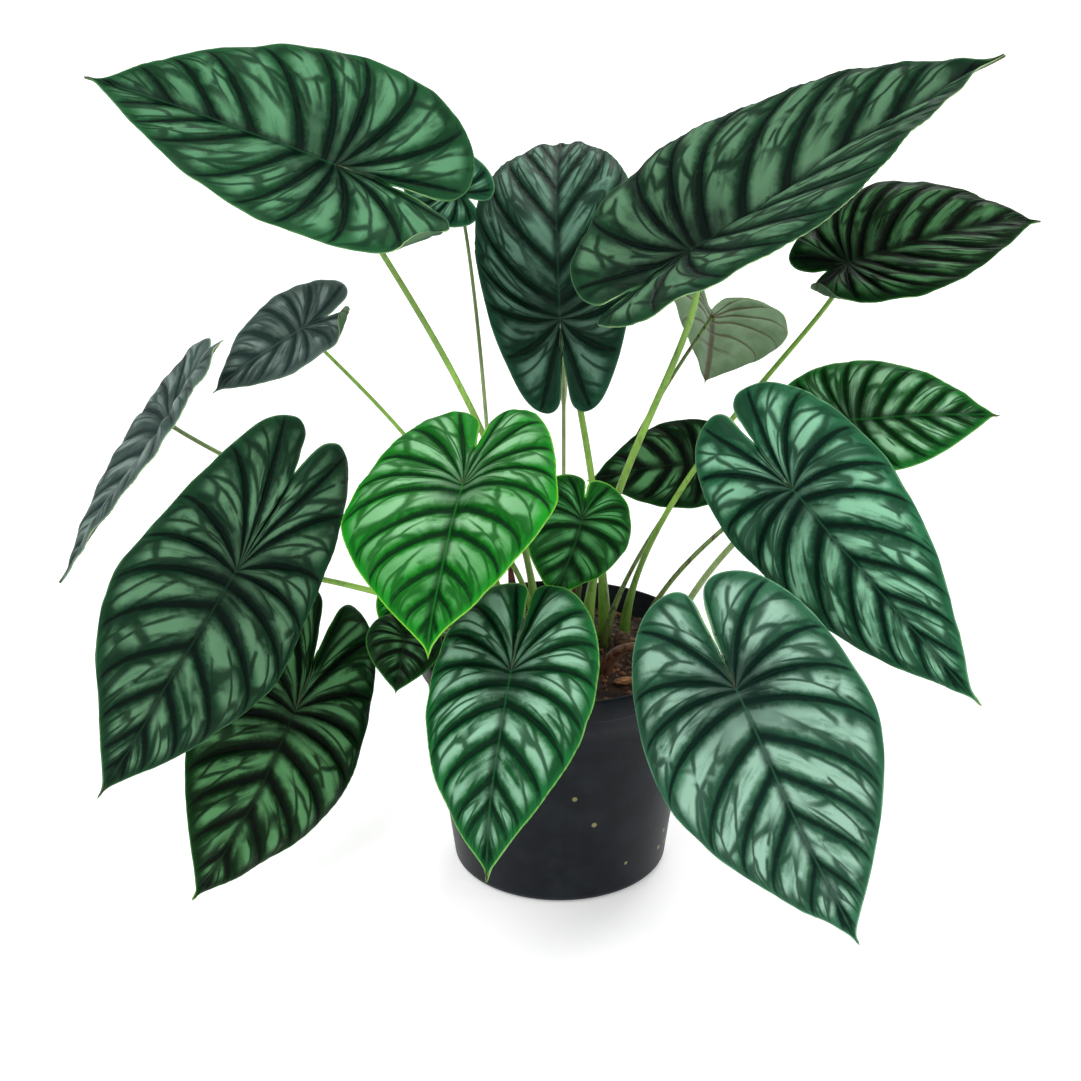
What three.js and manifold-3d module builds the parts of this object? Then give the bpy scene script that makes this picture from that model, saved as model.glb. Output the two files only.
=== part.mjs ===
// A potted alocasia: a nursery pot of soil with three crowns of long-stalked, shield-shaped leaves.
// Millimetres, +Z up. The origin is the centre of the pot's underside, and -Y is the front.
import * as THREE from 'three';
import ManifoldModule from 'manifold-3d';

// Pot
const rimRadius = 75;
const potHeight = 128;
const baseRadius = 56.5;
const potWall = 2.2;
const potFloor = 3;
const rimBand = 13;
const rimStep = 1.8;
const cornerRadius = 5;
const drainRadius = 4.5;
const drainCount = 8;
const drainCircle = 40;
const potSegments = 48;

// Soil, and the gap that touching pieces keep
const gap = 0.3;
const soilDrop = 14;
const soilMound = 8;

// Leaves
const bladeThickness = 0.9;
const petioleSides = 8;
const fanRows = 5;
const ribRows = 6;
const acrossSteps = 3;
const stalkStep = 22;
const stalkLift = 0.7;
const slopeLift = 0.9;
const rimClearance = 12;
const soilRings = 5;
const soilSegments = 36;

// The pot that the places of the leaves and soil pieces are drawn on. Feet spread with the rim
// and leaves keep their height above it.
const drawnRimRadius = 75;
const drawnPotHeight = 128;

const rad = THREE.MathUtils.degToRad;

// Colours
const potBlack = { color: 0x1d2226, roughness: 0.55 };
const soilBrown = { color: 0x2a1a14, roughness: 0.95 };
const crownBrown = { color: 0x4a3a26, roughness: 0.8 };
const sheathMaroon = { color: 0x451a1c, roughness: 0.7 };
const barkOrange = { color: 0x8a5a33, roughness: 0.9 };
const spearPale = { color: 0x9fb878, roughness: 0.5 };
const stalkGreen = { color: 0x6f9a35, roughness: 0.45 };
const bladeTints = {
  green: { color: 0x2f6b3f, roughness: 0.5 },
  teal: { color: 0x3a6157, roughness: 0.5 },
  dark: { color: 0x163d22, roughness: 0.5 },
  bright: { color: 0x3c9a3a, roughness: 0.45 },
  pale: { color: 0x7f9a6c, roughness: 0.6 },
};

// Each leaf: where its stalk meets the blade, which way the blade points, leans and rolls,
// its length from there to the tip, its full width, how far the lobes reach back in lengths, how
// much of that reach the notch leaves joined, how wide the notch gapes, how wide the lobes (waist)
// and the tip half (crown) are beside the usual, how it bends along and across in degrees, how
// much its sides rise, where its stalk leaves the soil, and how far that comes straight at the blade.
const leaves = [
  { name: 'left_high', at: [-110.7, 5, 385.9], heading: 164, pitch: 17, roll: -37, length: 137, width: 102,
    lobe: 0.48, notch: 0.45, gape: 0.55, waist: 1.1, bend: 8, arch: 10, fold: 22,
    foot: [-12, 10], lean: 40, tint: 'green' },
  { name: 'centre_high', at: [0, 40, 293], heading: 96, pitch: 58, roll: -10, length: 162, width: 92,
    lobe: 0.3, notch: 0.4, gape: 0.4, waist: 0.72, crown: 1.15, bend: 74, arch: 20, fold: 12,
    foot: [24, 18], lean: 30, tint: 'teal' },
  { name: 'right_high', at: [64.7, -8, 346.4], heading: 12, pitch: 31, roll: 8, length: 178, width: 153,
    lobe: 0.33, notch: 0.5, gape: 0.4, waist: 0.84, bend: 1, arch: 22, fold: 23,
    foot: [14, 6], lean: 45, tint: 'green' },
  { name: 'right_rear', at: [148.5, 42, 322.9], heading: 16, pitch: 16, roll: 29, length: 113, width: 84,
    lobe: 0.24, notch: 0.45, waist: 0.7, bend: 25, arch: 16, fold: 16,
    foot: [34, 14], lean: 40, tint: 'green' },
  { name: 'rear_young', at: [83, 112, 269], heading: 85, pitch: -50, roll: 28, length: 60, width: 78,
    lobe: 0.4, notch: 0.35, bend: 15, arch: 12, fold: 28,
    foot: [8, 36], lean: 30, tint: 'pale' },
  { name: 'left_far', at: [-201, 0, 251], heading: -140, pitch: -46, roll: 26, length: 96, width: 84,
    lobe: 0.52, notch: 0.4, bend: -3, arch: 10, fold: 14,
    foot: [-36, -8], lean: 60, tint: 'teal' },
  { name: 'left_small', at: [-134, 42, 287], heading: -176, pitch: -30, roll: -32, length: 60, width: 52,
    lobe: 0.5, notch: 0.45, bend: 12, arch: 12, fold: 14,
    foot: [-28, 18], lean: 45, tint: 'teal' },
  { name: 'left_low', at: [-161.5, -62.5, 196.2], heading: -137, pitch: -47, roll: -71, length: 129, width: 113,
    lobe: 0.63, notch: 0.7, gape: 0.6, waist: 0.82, bend: 1, arch: 18, fold: 3,
    foot: [-26, -16], lean: 60, tint: 'green' },
  { name: 'left_under', at: [-137.5, -40, 106.1], heading: -125, pitch: -51, roll: -62, length: 113, width: 101,
    lobe: 0.57, notch: 0.45, gape: 0.6, waist: 0.9, bend: 26, arch: 16, fold: 3,
    foot: [-48, 8], lean: 60, tint: 'dark' },
  { name: 'left_inner', at: [-80, -31, 144], heading: -100, pitch: -38, roll: -10, length: 30, width: 40,
    lobe: 0.42, notch: 0.45, bend: 15, arch: 12, fold: 8,
    foot: [-46, -16], lean: 16, tint: 'dark' },
  { name: 'centre_bright', at: [-48, -62, 243.2], heading: -103, pitch: -25, roll: 12, length: 98, width: 120,
    lobe: 0.51, notch: 0.55, gape: 0.35, waist: 0.82, bend: 17, arch: 20, fold: 17,
    foot: [-12, -12], lean: 45, tint: 'bright' },
  { name: 'centre_small', at: [11, -46, 217], heading: -118, pitch: -62, roll: -50, length: 45, width: 60,
    lobe: 0.48, notch: 0.55, gape: 0.3, bend: 40, arch: 20, fold: 8,
    foot: [6, -8], lean: 25, tint: 'bright' },
  { name: 'front_low', at: [-24, -112, 165], heading: -105, pitch: -43, roll: 10, length: 102, width: 90,
    lobe: 0.48, notch: 0.5, gape: 0.25, bend: 22, arch: 18, fold: 4,
    foot: [-6, -32], lean: 35, tint: 'green' },
  { name: 'right_low', at: [86.3, -110, 154.4], heading: -41, pitch: -58, roll: 61, length: 143, width: 125,
    lobe: 0.39, notch: 0.3, gape: 0.35, waist: 0.86, bend: 13, arch: 16, fold: 3,
    foot: [24, -24], lean: 40, tint: 'teal' },
  { name: 'right_mid', at: [115.6, -52, 235.8], heading: -30, pitch: -42, roll: 82, length: 139, width: 94,
    lobe: 0.39, notch: 0.55, gape: 0.4, waist: 1.02, bend: 2, arch: 16, fold: 3,
    foot: [56, -8], lean: 50, tint: 'teal' },
  { name: 'right_upper', at: [150, 14, 247], heading: 6, pitch: 3, roll: 42, length: 80, width: 66,
    lobe: 0.46, notch: 0.45, bend: 12, arch: 14, fold: 12,
    foot: [42, 4], lean: 45, tint: 'green' },
  { name: 'inner_dark', at: [72, 47, 210], heading: -175, pitch: -4, roll: -40, length: 58, width: 54,
    lobe: 0.44, notch: 0.45, bend: 15, arch: 14, fold: 8,
    foot: [24, 4], lean: 25, tint: 'dark' },
  { name: 'rear_left', at: [-55, 95, 345], heading: 150, pitch: 20, roll: -50, length: 44, width: 42,
    lobe: 0.42, notch: 0.45, bend: 15, arch: 12, fold: 8,
    foot: [-34, 28], lean: 30, tint: 'teal' },
  { name: 'left_sprout', at: [-88, 24, 140], heading: -110, pitch: -62, roll: -20, length: 22, width: 20,
    lobe: 0.4, notch: 0.5, bend: 10, arch: 12, fold: 12,
    foot: [-50, 20], lean: 14, tint: 'bright' },
];

// Corms, papery sheaths, bark and the rolled new leaf: places on the soil, and sizes.
const corms = [
  { name: 'left', at: [-36, 6], radius: 6 },
  { name: 'centre', at: [-4, -19], radius: 5 },
  { name: 'right', at: [33, 3], radius: 5 },
];
const cormHeight = 9;

const sheaths = [
  { name: 'tall', at: [-21, -2], height: 58, radius: 5, turn: 20, lean: -6 },
  { name: 'left', at: [-50, -6], height: 30, radius: 4.5, turn: 70, lean: -14 },
  { name: 'right', at: [43, -12], height: 34, radius: 4.5, turn: -40, lean: 12 },
  { name: 'rear', at: [4, 24], height: 38, radius: 4.5, turn: 0, lean: 5 },
  { name: 'front', at: [8, -24], height: 26, radius: 4, turn: -20, lean: 8 },
];
const sheathFlatness = 0.4;

const barkChips = [
  { at: [34, -36], size: 7, turn: 25 },
  { at: [50, -26], size: 5, turn: 100 },
  { at: [-30, -42], size: 5.5, turn: 60 },
  { at: [-8, 50], size: 6, turn: 10 },
  { at: [46, 30], size: 5, turn: 140 },
  { at: [12, -50], size: 5, turn: 170 },
];

const spear = { at: [2, 82, 260], foot: [2, 48], length: 36, radius: 3.2, stalkRadius: 1.2, lean: 6 };

function makeMesh(name, geometry, look) {
  const material = new THREE.MeshStandardMaterial({ ...look, metalness: 0 });
  const mesh = new THREE.Mesh(geometry, material);
  mesh.name = name;
  return mesh;
}

function lathe(profile, segments) {
  const points = profile.map(([r, z]) => new THREE.Vector2(r, z));
  const geometry = new THREE.LatheGeometry(points, segments);
  geometry.rotateX(Math.PI / 2);
  return geometry;
}

// The half outline of a blade, from the bottom of the notch round the lobe and side to the tip:
// first number along the midrib in leaf lengths, second across in half widths.
function outlineCurve({ lobe, notch, gape = 1, waist = 1, crown = 1 }) {
  const lerp = THREE.MathUtils.lerp;
  const reach = (share) => -lobe * lerp(notch, 1, share);
  const points = [
    [reach(0), 0],
    [reach(0.45), 0.07 * gape],
    [reach(0.88), 0.19 * gape],
    [-lobe, 0.38 * lerp(1, gape, 0.5) * lerp(1, waist, 0.5)],
    [-0.87 * lobe, 0.64 * lerp(1, gape, 0.12) * waist],
    [-0.48 * lobe, 0.88 * waist],
    [0.04, lerp(1, waist, 0.6)],
    [0.28, 0.95],
    [0.52, 0.74 * crown],
    [0.74, 0.42 * crown],
    [0.9, 0.13],
    [1, 0],
  ];
  return new THREE.CatmullRomCurve3(points.map(([u, v]) => new THREE.Vector3(u, v, 0)));
}

// The blade's own axes: along the midrib to the tip, to its left, and out of its upper face.
function bladeAxes(leaf) {
  const heading = rad(leaf.heading);
  const pitch = rad(leaf.pitch);
  const flat = Math.cos(pitch);
  const along = new THREE.Vector3(Math.cos(heading) * flat, Math.sin(heading) * flat, Math.sin(pitch));
  const left = new THREE.Vector3(-Math.sin(heading), Math.cos(heading), 0);
  const up = new THREE.Vector3().crossVectors(along, left);
  left.applyAxisAngle(along, rad(leaf.roll));
  up.applyAxisAngle(along, rad(leaf.roll));
  return { along, left, up };
}

// A point of the curved blade, u along and v across, raised by height along the blade's normal.
function bladePoint(leaf, axes, u, v, height) {
  const alongTurn = rad(leaf.bend) * u;
  const alongRadius = leaf.length / rad(leaf.bend);
  const acrossTurn = rad(leaf.arch) * Math.abs(v);
  const acrossRadius = leaf.width / 2 / rad(leaf.arch);
  const x = alongRadius * Math.sin(alongTurn);
  const drop = alongRadius * (1 - Math.cos(alongTurn));
  const y = acrossRadius * Math.sin(acrossTurn) * Math.sign(v);
  const sink = acrossRadius * (1 - Math.cos(acrossTurn));
  const rise = Math.abs(y) * Math.tan(rad(leaf.fold)) - sink + height;
  return abovePot(leaf.at)
    .addScaledVector(axes.along, x + rise * Math.sin(alongTurn))
    .addScaledVector(axes.up, rise * Math.cos(alongTurn) - drop)
    .addScaledVector(axes.left, y);
}

// Each half blade is a grid. Its first rows fan from the stalk to the lobe, and the rest run
// from the midrib to the side.
function bladeRows(leaf) {
  const outline = outlineCurve(leaf);
  const count = fanRows + ribRows;
  return Array.from({ length: count + 1 }, (unused, row) => {
    const edge = outline.getPointAt(row / count);
    return { spine: Math.max(0, (row - fanRows) / ribRows), edge };
  });
}

// Collects the corners of triangles, leaving out those with two corners in one place.
function triangleList() {
  const corners = [];
  const same = (a, b) => a.distanceTo(b) < 1e-6;
  const triangle = (a, b, c) => {
    if (same(a, b) || same(b, c) || same(a, c)) return;
    for (const point of [a, b, c]) corners.push(point.x, point.y, point.z);
  };
  const quad = (a, b, c, d, turned) => {
    if (turned) {
      triangle(a, c, b);
      triangle(a, d, c);
    } else {
      triangle(a, b, c);
      triangle(a, c, d);
    }
  };
  const geometry = () => {
    const result = new THREE.BufferGeometry();
    result.setAttribute('position', new THREE.Float32BufferAttribute(corners, 3));
    result.computeVertexNormals();
    return result;
  };
  return { quad, geometry };
}

function bladeGeometry(leaf) {
  const axes = bladeAxes(leaf);
  const rows = bladeRows(leaf);
  const list = triangleList();
  for (const side of [1, -1]) {
    const at = (row, step, face) => {
      const { spine, edge } = rows[row];
      const share = step / acrossSteps;
      const u = THREE.MathUtils.lerp(spine, edge.x, share);
      return bladePoint(leaf, axes, u, edge.y * share * side, face * bladeThickness / 2);
    };
    const patch = (row, step, face) => [at(row, step, face), at(row + 1, step, face),
      at(row + 1, step + 1, face), at(row, step + 1, face)];
    for (let row = 0; row < rows.length - 1; row += 1) {
      for (let step = 0; step < acrossSteps; step += 1) {
        list.quad(...patch(row, step, 1), side < 0);
        list.quad(...patch(row, step, -1), side > 0);
      }
      list.quad(at(row, acrossSteps, 1), at(row + 1, acrossSteps, 1),
        at(row + 1, acrossSteps, -1), at(row, acrossSteps, -1), side < 0);
    }
  }
  return list.geometry();
}

function tube(curve, radius) {
  const section = new THREE.Shape();
  section.absarc(0, 0, radius, 0, Math.PI * 2, false);
  const steps = Math.round(curve.getLength() / stalkStep) + 4;
  const curveSegments = petioleSides / 2;
  return new THREE.ExtrudeGeometry(section, { steps, curveSegments, extrudePath: curve, bevelEnabled: false });
}

// A stalk rises from its foot, leans out, and meets the underside of its blade square on.
function petioleGeometry(leaf) {
  const axes = bladeAxes(leaf);
  const end = bladePoint(leaf, axes, 0, 0, -bladeThickness / 2 - gap);
  const foot = onSoil(leaf.foot, stalkLift);
  const lift = foot.clone();
  lift.z += Math.max(2 * soilDrop + rimClearance, (end.z - foot.z) * 0.45);
  const approach = end.clone().addScaledVector(axes.up, -leaf.lean);
  return tube(new THREE.CubicBezierCurve3(foot, lift, approach, end), 0.8 + leaf.length / 160);
}

function soilHeight(radius) {
  const share = radius / (rimRadius - rimStep - potWall);
  return potHeight - soilDrop + soilMound * (1 - share * share);
}

function onSoil([x, y], lift) {
  const spread = rimRadius / drawnRimRadius;
  return new THREE.Vector3(x * spread, y * spread, soilHeight(Math.hypot(x, y) * spread) + lift);
}

function abovePot([x, y, z]) {
  return new THREE.Vector3(x, y, z + potHeight - drawnPotHeight);
}

function potOutside(z) {
  return THREE.MathUtils.lerp(baseRadius, rimRadius - rimStep, z / potHeight);
}

function potInside(z) {
  return potOutside(z) - potWall;
}

function potGeometry({ Manifold }) {
  const shoulder = potHeight - rimBand;
  const profile = [
    [0, 0],
    [baseRadius - cornerRadius, 0],
    [baseRadius - cornerRadius * 0.3, cornerRadius * 0.3],
    [potOutside(cornerRadius), cornerRadius],
    [potOutside(shoulder), shoulder],
    [rimRadius - 0.4, shoulder + 0.8],
    [rimRadius, shoulder + 2],
    [rimRadius, potHeight - 1.2],
    [rimRadius - 0.8, potHeight],
    [rimRadius - 2.2, potHeight],
    [potInside(potHeight - 2), potHeight - 2],
    [potInside(potFloor + cornerRadius), potFloor + cornerRadius],
    [potInside(potFloor) - cornerRadius, potFloor],
    [0, potFloor],
  ];
  const holes = Array.from({ length: drainCount }, (unused, index) => {
    const turn = (index + 0.5) * 2 * Math.PI / drainCount;
    const hole = Manifold.cylinder(potFloor * 3, drainRadius, drainRadius, 16);
    return hole.translate([drainCircle * Math.cos(turn), drainCircle * Math.sin(turn), -potFloor]);
  });
  const wall = Manifold.revolve([profile], potSegments);
  const { vertProperties, triVerts } = wall.subtract(Manifold.union(holes)).getMesh();
  const geometry = new THREE.BufferGeometry();
  geometry.setAttribute('position', new THREE.BufferAttribute(vertProperties, 3));
  geometry.setIndex(new THREE.BufferAttribute(triVerts, 1));
  geometry.computeVertexNormals();
  return geometry;
}

function soilGeometry() {
  const floor = potFloor + gap;
  const edge = potInside(potHeight - soilDrop) - gap;
  const profile = [
    [0, floor],
    [potInside(potFloor) - cornerRadius - gap, floor],
    [potInside(potFloor + cornerRadius) - gap, floor + cornerRadius],
    [edge, soilHeight(edge)],
  ];
  for (let ring = soilRings - 1; ring >= 0; ring -= 1) {
    const radius = edge * ring / soilRings;
    profile.push([radius, soilHeight(radius)]);
  }
  return lathe(profile, soilSegments);
}

function cormGeometry({ at, radius }) {
  const profile = [
    [0, 0],
    [radius * 0.9, 0],
    [radius, cormHeight * 0.3],
    [radius * 0.8, cormHeight * 0.75],
    [radius * 0.4, cormHeight],
    [0, cormHeight],
  ];
  return lathe(profile, 14).translate(...onSoil(at, gap + slopeLift));
}

// A papery sheath is a tall flattened cone that leans a little away from the stalks it held.
function sheathGeometry({ at, height, radius, turn, lean }) {
  const cone = new THREE.ConeGeometry(radius, height, 12, 3);
  cone.rotateX(Math.PI / 2).translate(0, 0, height / 2).scale(1, sheathFlatness, 1);
  cone.rotateY(rad(lean)).rotateZ(rad(turn));
  const lift = radius * Math.abs(Math.sin(rad(lean)));
  return cone.translate(...onSoil(at, gap + lift));
}

function barkGeometry({ at, size, turn }) {
  const chip = new THREE.IcosahedronGeometry(size / 2, 0);
  chip.scale(1.7, 1, 0.6).rotateZ(rad(turn));
  return chip.translate(...onSoil(at, size * 0.3 + gap + slopeLift));
}

// The rolled new leaf hangs from the end of its own stalk.
function spearGeometry() {
  const { length, radius } = spear;
  const profile = [
    [0, -length],
    [radius * 0.35, -length * 0.85],
    [radius * 0.9, -length * 0.55],
    [radius, -length * 0.4],
    [radius * 0.7, -length * 0.12],
    [0, 0],
  ];
  return lathe(profile, 10).rotateX(rad(spear.lean)).translate(...abovePot(spear.at));
}

function spearStalkGeometry() {
  const end = abovePot(spear.at);
  end.z += gap;
  const over = end.clone();
  over.z += 16;
  const foot = onSoil(spear.foot, stalkLift);
  const lift = foot.clone();
  lift.z += (end.z - foot.z) * 0.5;
  return tube(new THREE.CubicBezierCurve3(foot, lift, over, end), spear.stalkRadius);
}

const manifold = await ManifoldModule();
manifold.setup();

const plant = new THREE.Group();
plant.add(makeMesh('pot', potGeometry(manifold), potBlack));
plant.add(makeMesh('soil', soilGeometry(), soilBrown));
for (const corm of corms) {
  plant.add(makeMesh(`corm_${corm.name}`, cormGeometry(corm), crownBrown));
}
for (const sheath of sheaths) {
  plant.add(makeMesh(`sheath_${sheath.name}`, sheathGeometry(sheath), sheathMaroon));
}
barkChips.forEach((chip, index) => {
  plant.add(makeMesh(`bark_${index + 1}`, barkGeometry(chip), barkOrange));
});
for (const leaf of leaves) {
  plant.add(makeMesh(`blade_${leaf.name}`, bladeGeometry(leaf), bladeTints[leaf.tint]));
  plant.add(makeMesh(`petiole_${leaf.name}`, petioleGeometry(leaf), stalkGreen));
}
plant.add(makeMesh('spear', spearGeometry(), spearPale));
plant.add(makeMesh('spear_stalk', spearStalkGeometry(), stalkGreen));

export default plant;
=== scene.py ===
import random
from math import atan2, ceil, cos, exp, pi, radians, sin, sqrt, tan

import bmesh
import bpy
from mathutils import Matrix, Vector, noise
from mathutils.kdtree import KDTree


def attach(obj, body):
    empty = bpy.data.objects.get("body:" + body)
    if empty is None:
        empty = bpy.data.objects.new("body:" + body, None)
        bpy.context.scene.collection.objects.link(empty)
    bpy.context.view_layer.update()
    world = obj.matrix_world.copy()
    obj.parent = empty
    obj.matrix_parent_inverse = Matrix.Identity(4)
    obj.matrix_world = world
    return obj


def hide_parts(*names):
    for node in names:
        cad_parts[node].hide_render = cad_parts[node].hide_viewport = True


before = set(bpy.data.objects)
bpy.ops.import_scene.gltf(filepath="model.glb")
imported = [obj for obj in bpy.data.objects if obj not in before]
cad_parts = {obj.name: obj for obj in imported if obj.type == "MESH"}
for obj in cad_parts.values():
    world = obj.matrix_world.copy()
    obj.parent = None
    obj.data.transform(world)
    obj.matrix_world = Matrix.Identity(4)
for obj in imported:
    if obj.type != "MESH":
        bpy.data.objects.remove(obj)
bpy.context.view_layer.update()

mm = 0.001


# A node output that Python expressions can work with: each operator adds a Math node.
class Signal:
    def __init__(self, finish, socket):
        self.finish = finish
        self.socket = socket

    def join(self, operation, first, second):
        return self.finish.node("ShaderNodeMath", {"operation": operation}, {0: first, 1: second})

    def __add__(self, other):
        return self.join("ADD", self, other)

    def __radd__(self, other):
        return self.join("ADD", other, self)

    def __sub__(self, other):
        return self.join("SUBTRACT", self, other)

    def __rsub__(self, other):
        return self.join("SUBTRACT", other, self)

    def __mul__(self, other):
        return self.join("MULTIPLY", self, other)

    def __rmul__(self, other):
        return self.join("MULTIPLY", other, self)

    def __truediv__(self, other):
        return self.join("DIVIDE", self, other)

    def most(self, other):
        return self.join("MAXIMUM", self, other)

    def ramp(self, low, high):  # 0 below low, 1 above high, smooth between
        settings = {"interpolation_type": "SMOOTHSTEP"}
        inputs = {"Value": self, "From Min": low, "From Max": high}
        return self.finish.node("ShaderNodeMapRange", settings, inputs)


# One material and the nodes that feed its shader.
class Finish:
    def __init__(self, name):
        self.material = bpy.data.materials.new(name)
        self.material.use_nodes = True
        self.tree = self.material.node_tree
        self.shader = self.tree.nodes["Principled BSDF"]

    def node(self, kind, settings=None, inputs=None, output=0):
        made = self.tree.nodes.new(kind)
        for key, value in (settings or {}).items():
            setattr(made, key, value)
        for key, value in (inputs or {}).items():
            self.feed(made.inputs[key], value)
        return Signal(self, made.outputs[output])

    def feed(self, socket, value):
        if isinstance(value, Signal):
            self.tree.links.new(value.socket, socket)
        elif isinstance(value, tuple) and len(value) == 3 and socket.type == "RGBA":
            socket.default_value = (*value, 1)
        else:
            socket.default_value = value

    def attribute(self, name, output="Fac"):
        return self.node("ShaderNodeAttribute", {"attribute_name": name}, output=output)

    def place(self):
        return self.node("ShaderNodeTexCoord", output="Object")

    def scaled(self, vector, scale):
        settings = {"operation": "MULTIPLY"}
        return self.node("ShaderNodeVectorMath", settings, {0: vector, 1: scale})

    def vector(self, x, y, z=0.0):
        return self.node("ShaderNodeCombineXYZ", None, {"X": x, "Y": y, "Z": z})

    def noise(self, vector, scale, detail=3.0, rough=0.55):
        inputs = {"Vector": vector, "Scale": scale, "Detail": detail, "Roughness": rough}
        return self.node("ShaderNodeTexNoise", None, inputs)

    def cells(self, vector, scale, feature="DISTANCE_TO_EDGE"):
        return self.node("ShaderNodeTexVoronoi", {"feature": feature}, {"Vector": vector, "Scale": scale})

    def blend(self, factor, first, second):
        settings = {"data_type": "RGBA"}
        return self.node("ShaderNodeMix", settings, {0: factor, 6: first, 7: second}, output=2)

    def bump(self, height, distance, strength=1.0):
        inputs = {"Height": height, "Distance": distance, "Strength": strength}
        return self.node("ShaderNodeBump", None, inputs)

    def set(self, **values):
        for key, value in values.items():
            self.feed(self.shader.inputs[key.replace("_", " ")], value)
        return self.material


def addPiece(bm, name, materials, nodes, smooth=True):
    mesh = bpy.data.meshes.new(name)
    bm.to_mesh(mesh)
    bm.free()
    for material in materials:
        mesh.materials.append(material)
    if smooth:
        mesh.polygons.foreach_set("use_smooth", [True] * len(mesh.polygons))
    piece = bpy.data.objects.new(name, mesh)
    bpy.context.scene.collection.objects.link(piece)
    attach(piece, "root")
    if nodes:
        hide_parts(*nodes)
    return piece


def smoothStep(low, high, value):
    share = min(1.0, max(0.0, (value - low) / (high - low)))
    return share * share * (3 - 2 * share)


def lerp(first, second, share):
    return first + (second - first) * share


def bezier(points, share):
    a, b, c, d = points
    rest = 1 - share
    return a * rest ** 3 + b * 3 * rest * rest * share + c * 3 * rest * share * share + d * share ** 3


def wander(place, scale, seed=0.0):  # smooth noise between about -1 and 1
    x, y, z = place
    return noise.noise(Vector((x * scale + seed, y * scale - seed, z * scale + 3 * seed)))


potForm = {
    "rimRadius": 0.075,
    "height": 0.128,
    "baseRadius": 0.0565,
    "wall": 0.0022,
    "floor": 0.003,
    "rimBand": 0.013,
    "rimStep": 0.0018,
    "lipHalf": 0.0011,      # half the thickness of the rolled lip
    "lipRise": 0.0022,
    "lipDepth": 0.006,
    "ease": 0.0006,         # softening of the step under the rim band
    "corner": 0.005,
    "insideCorner": 0.008,
    "turns": 144,
    "drains": 8,
    "drainRadius": 0.0045,
    "drainCircle": 0.040,
}

soilForm = {
    "drop": 0.014,          # from the rim down to the soil's edge
    "mound": 0.008,
    "gap": 0.0003,          # to the pot's wall
    "underside": 0.06,      # height at which the look's soil ends
    "gridSteps": 96,
    "crumbs": 900,
    "chips": 60,            # crumbs of the larger kind
    "crumbReach": 0.067,
}


def soilHeight(radius):
    share = radius / (potForm["rimRadius"] - potForm["rimStep"] - potForm["wall"])
    return potForm["height"] - soilForm["drop"] + soilForm["mound"] * (1 - share * share)


def potOutside(z):
    return lerp(potForm["baseRadius"], potForm["rimRadius"] - potForm["rimStep"], z / potForm["height"])


def potInside(z):
    return potOutside(z) - potForm["wall"]


def spunPiece(profile, steps):
    bm = bmesh.new()
    row = [bm.verts.new((radius, 0, z)) for radius, z in profile]
    edges = [bm.edges.new(pair) for pair in zip(row, row[1:])]
    bmesh.ops.spin(bm, geom=row + edges, cent=(0, 0, 0), axis=(0, 0, 1), angle=2 * pi, steps=steps,
                   use_merge=True)
    bmesh.ops.remove_doubles(bm, verts=bm.verts, dist=1e-6)
    bmesh.ops.recalc_face_normals(bm, faces=bm.faces)
    return bm


def potMaterial():
    finish = Finish("charcoalPlastic")
    place = finish.place()
    scuff = finish.noise(place, 60, 5, 0.6)
    fine = finish.noise(place, 900, 2)
    speckCells = finish.cells(place, 95, "F1")
    rare = finish.noise(place, 22, 1).ramp(0.56, 0.62)
    speck = (1 - speckCells.ramp(0.10, 0.16)) * rare
    body = finish.blend(scuff.ramp(0.35, 0.75), (0.006, 0.008, 0.011), (0.013, 0.016, 0.021))
    colour = finish.blend(speck * 0.8, body, (0.30, 0.27, 0.12))
    rough = 0.34 + scuff * 0.16
    normal = finish.bump(fine * 0.5 + scuff, 0.0004, 0.35)
    return finish.set(Base_Color=colour, Roughness=rough, Normal=normal, Specular_IOR_Level=0.12)


def drillDrain(bm, turn):  # a round wall between the pot's underside and its floor
    centre = Vector((cos(turn), sin(turn), 0)) * potForm["drainCircle"]
    edges = []
    for level in (0, potForm["floor"]):
        spot = Matrix.Translation(centre + Vector((0, 0, level)))
        ring = bmesh.ops.create_circle(bm, segments=24, radius=potForm["drainRadius"], matrix=spot)["verts"]
        edges += dict.fromkeys(edge for vert in ring for edge in vert.link_edges)
    bmesh.ops.bridge_loops(bm, edges=edges)


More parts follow.
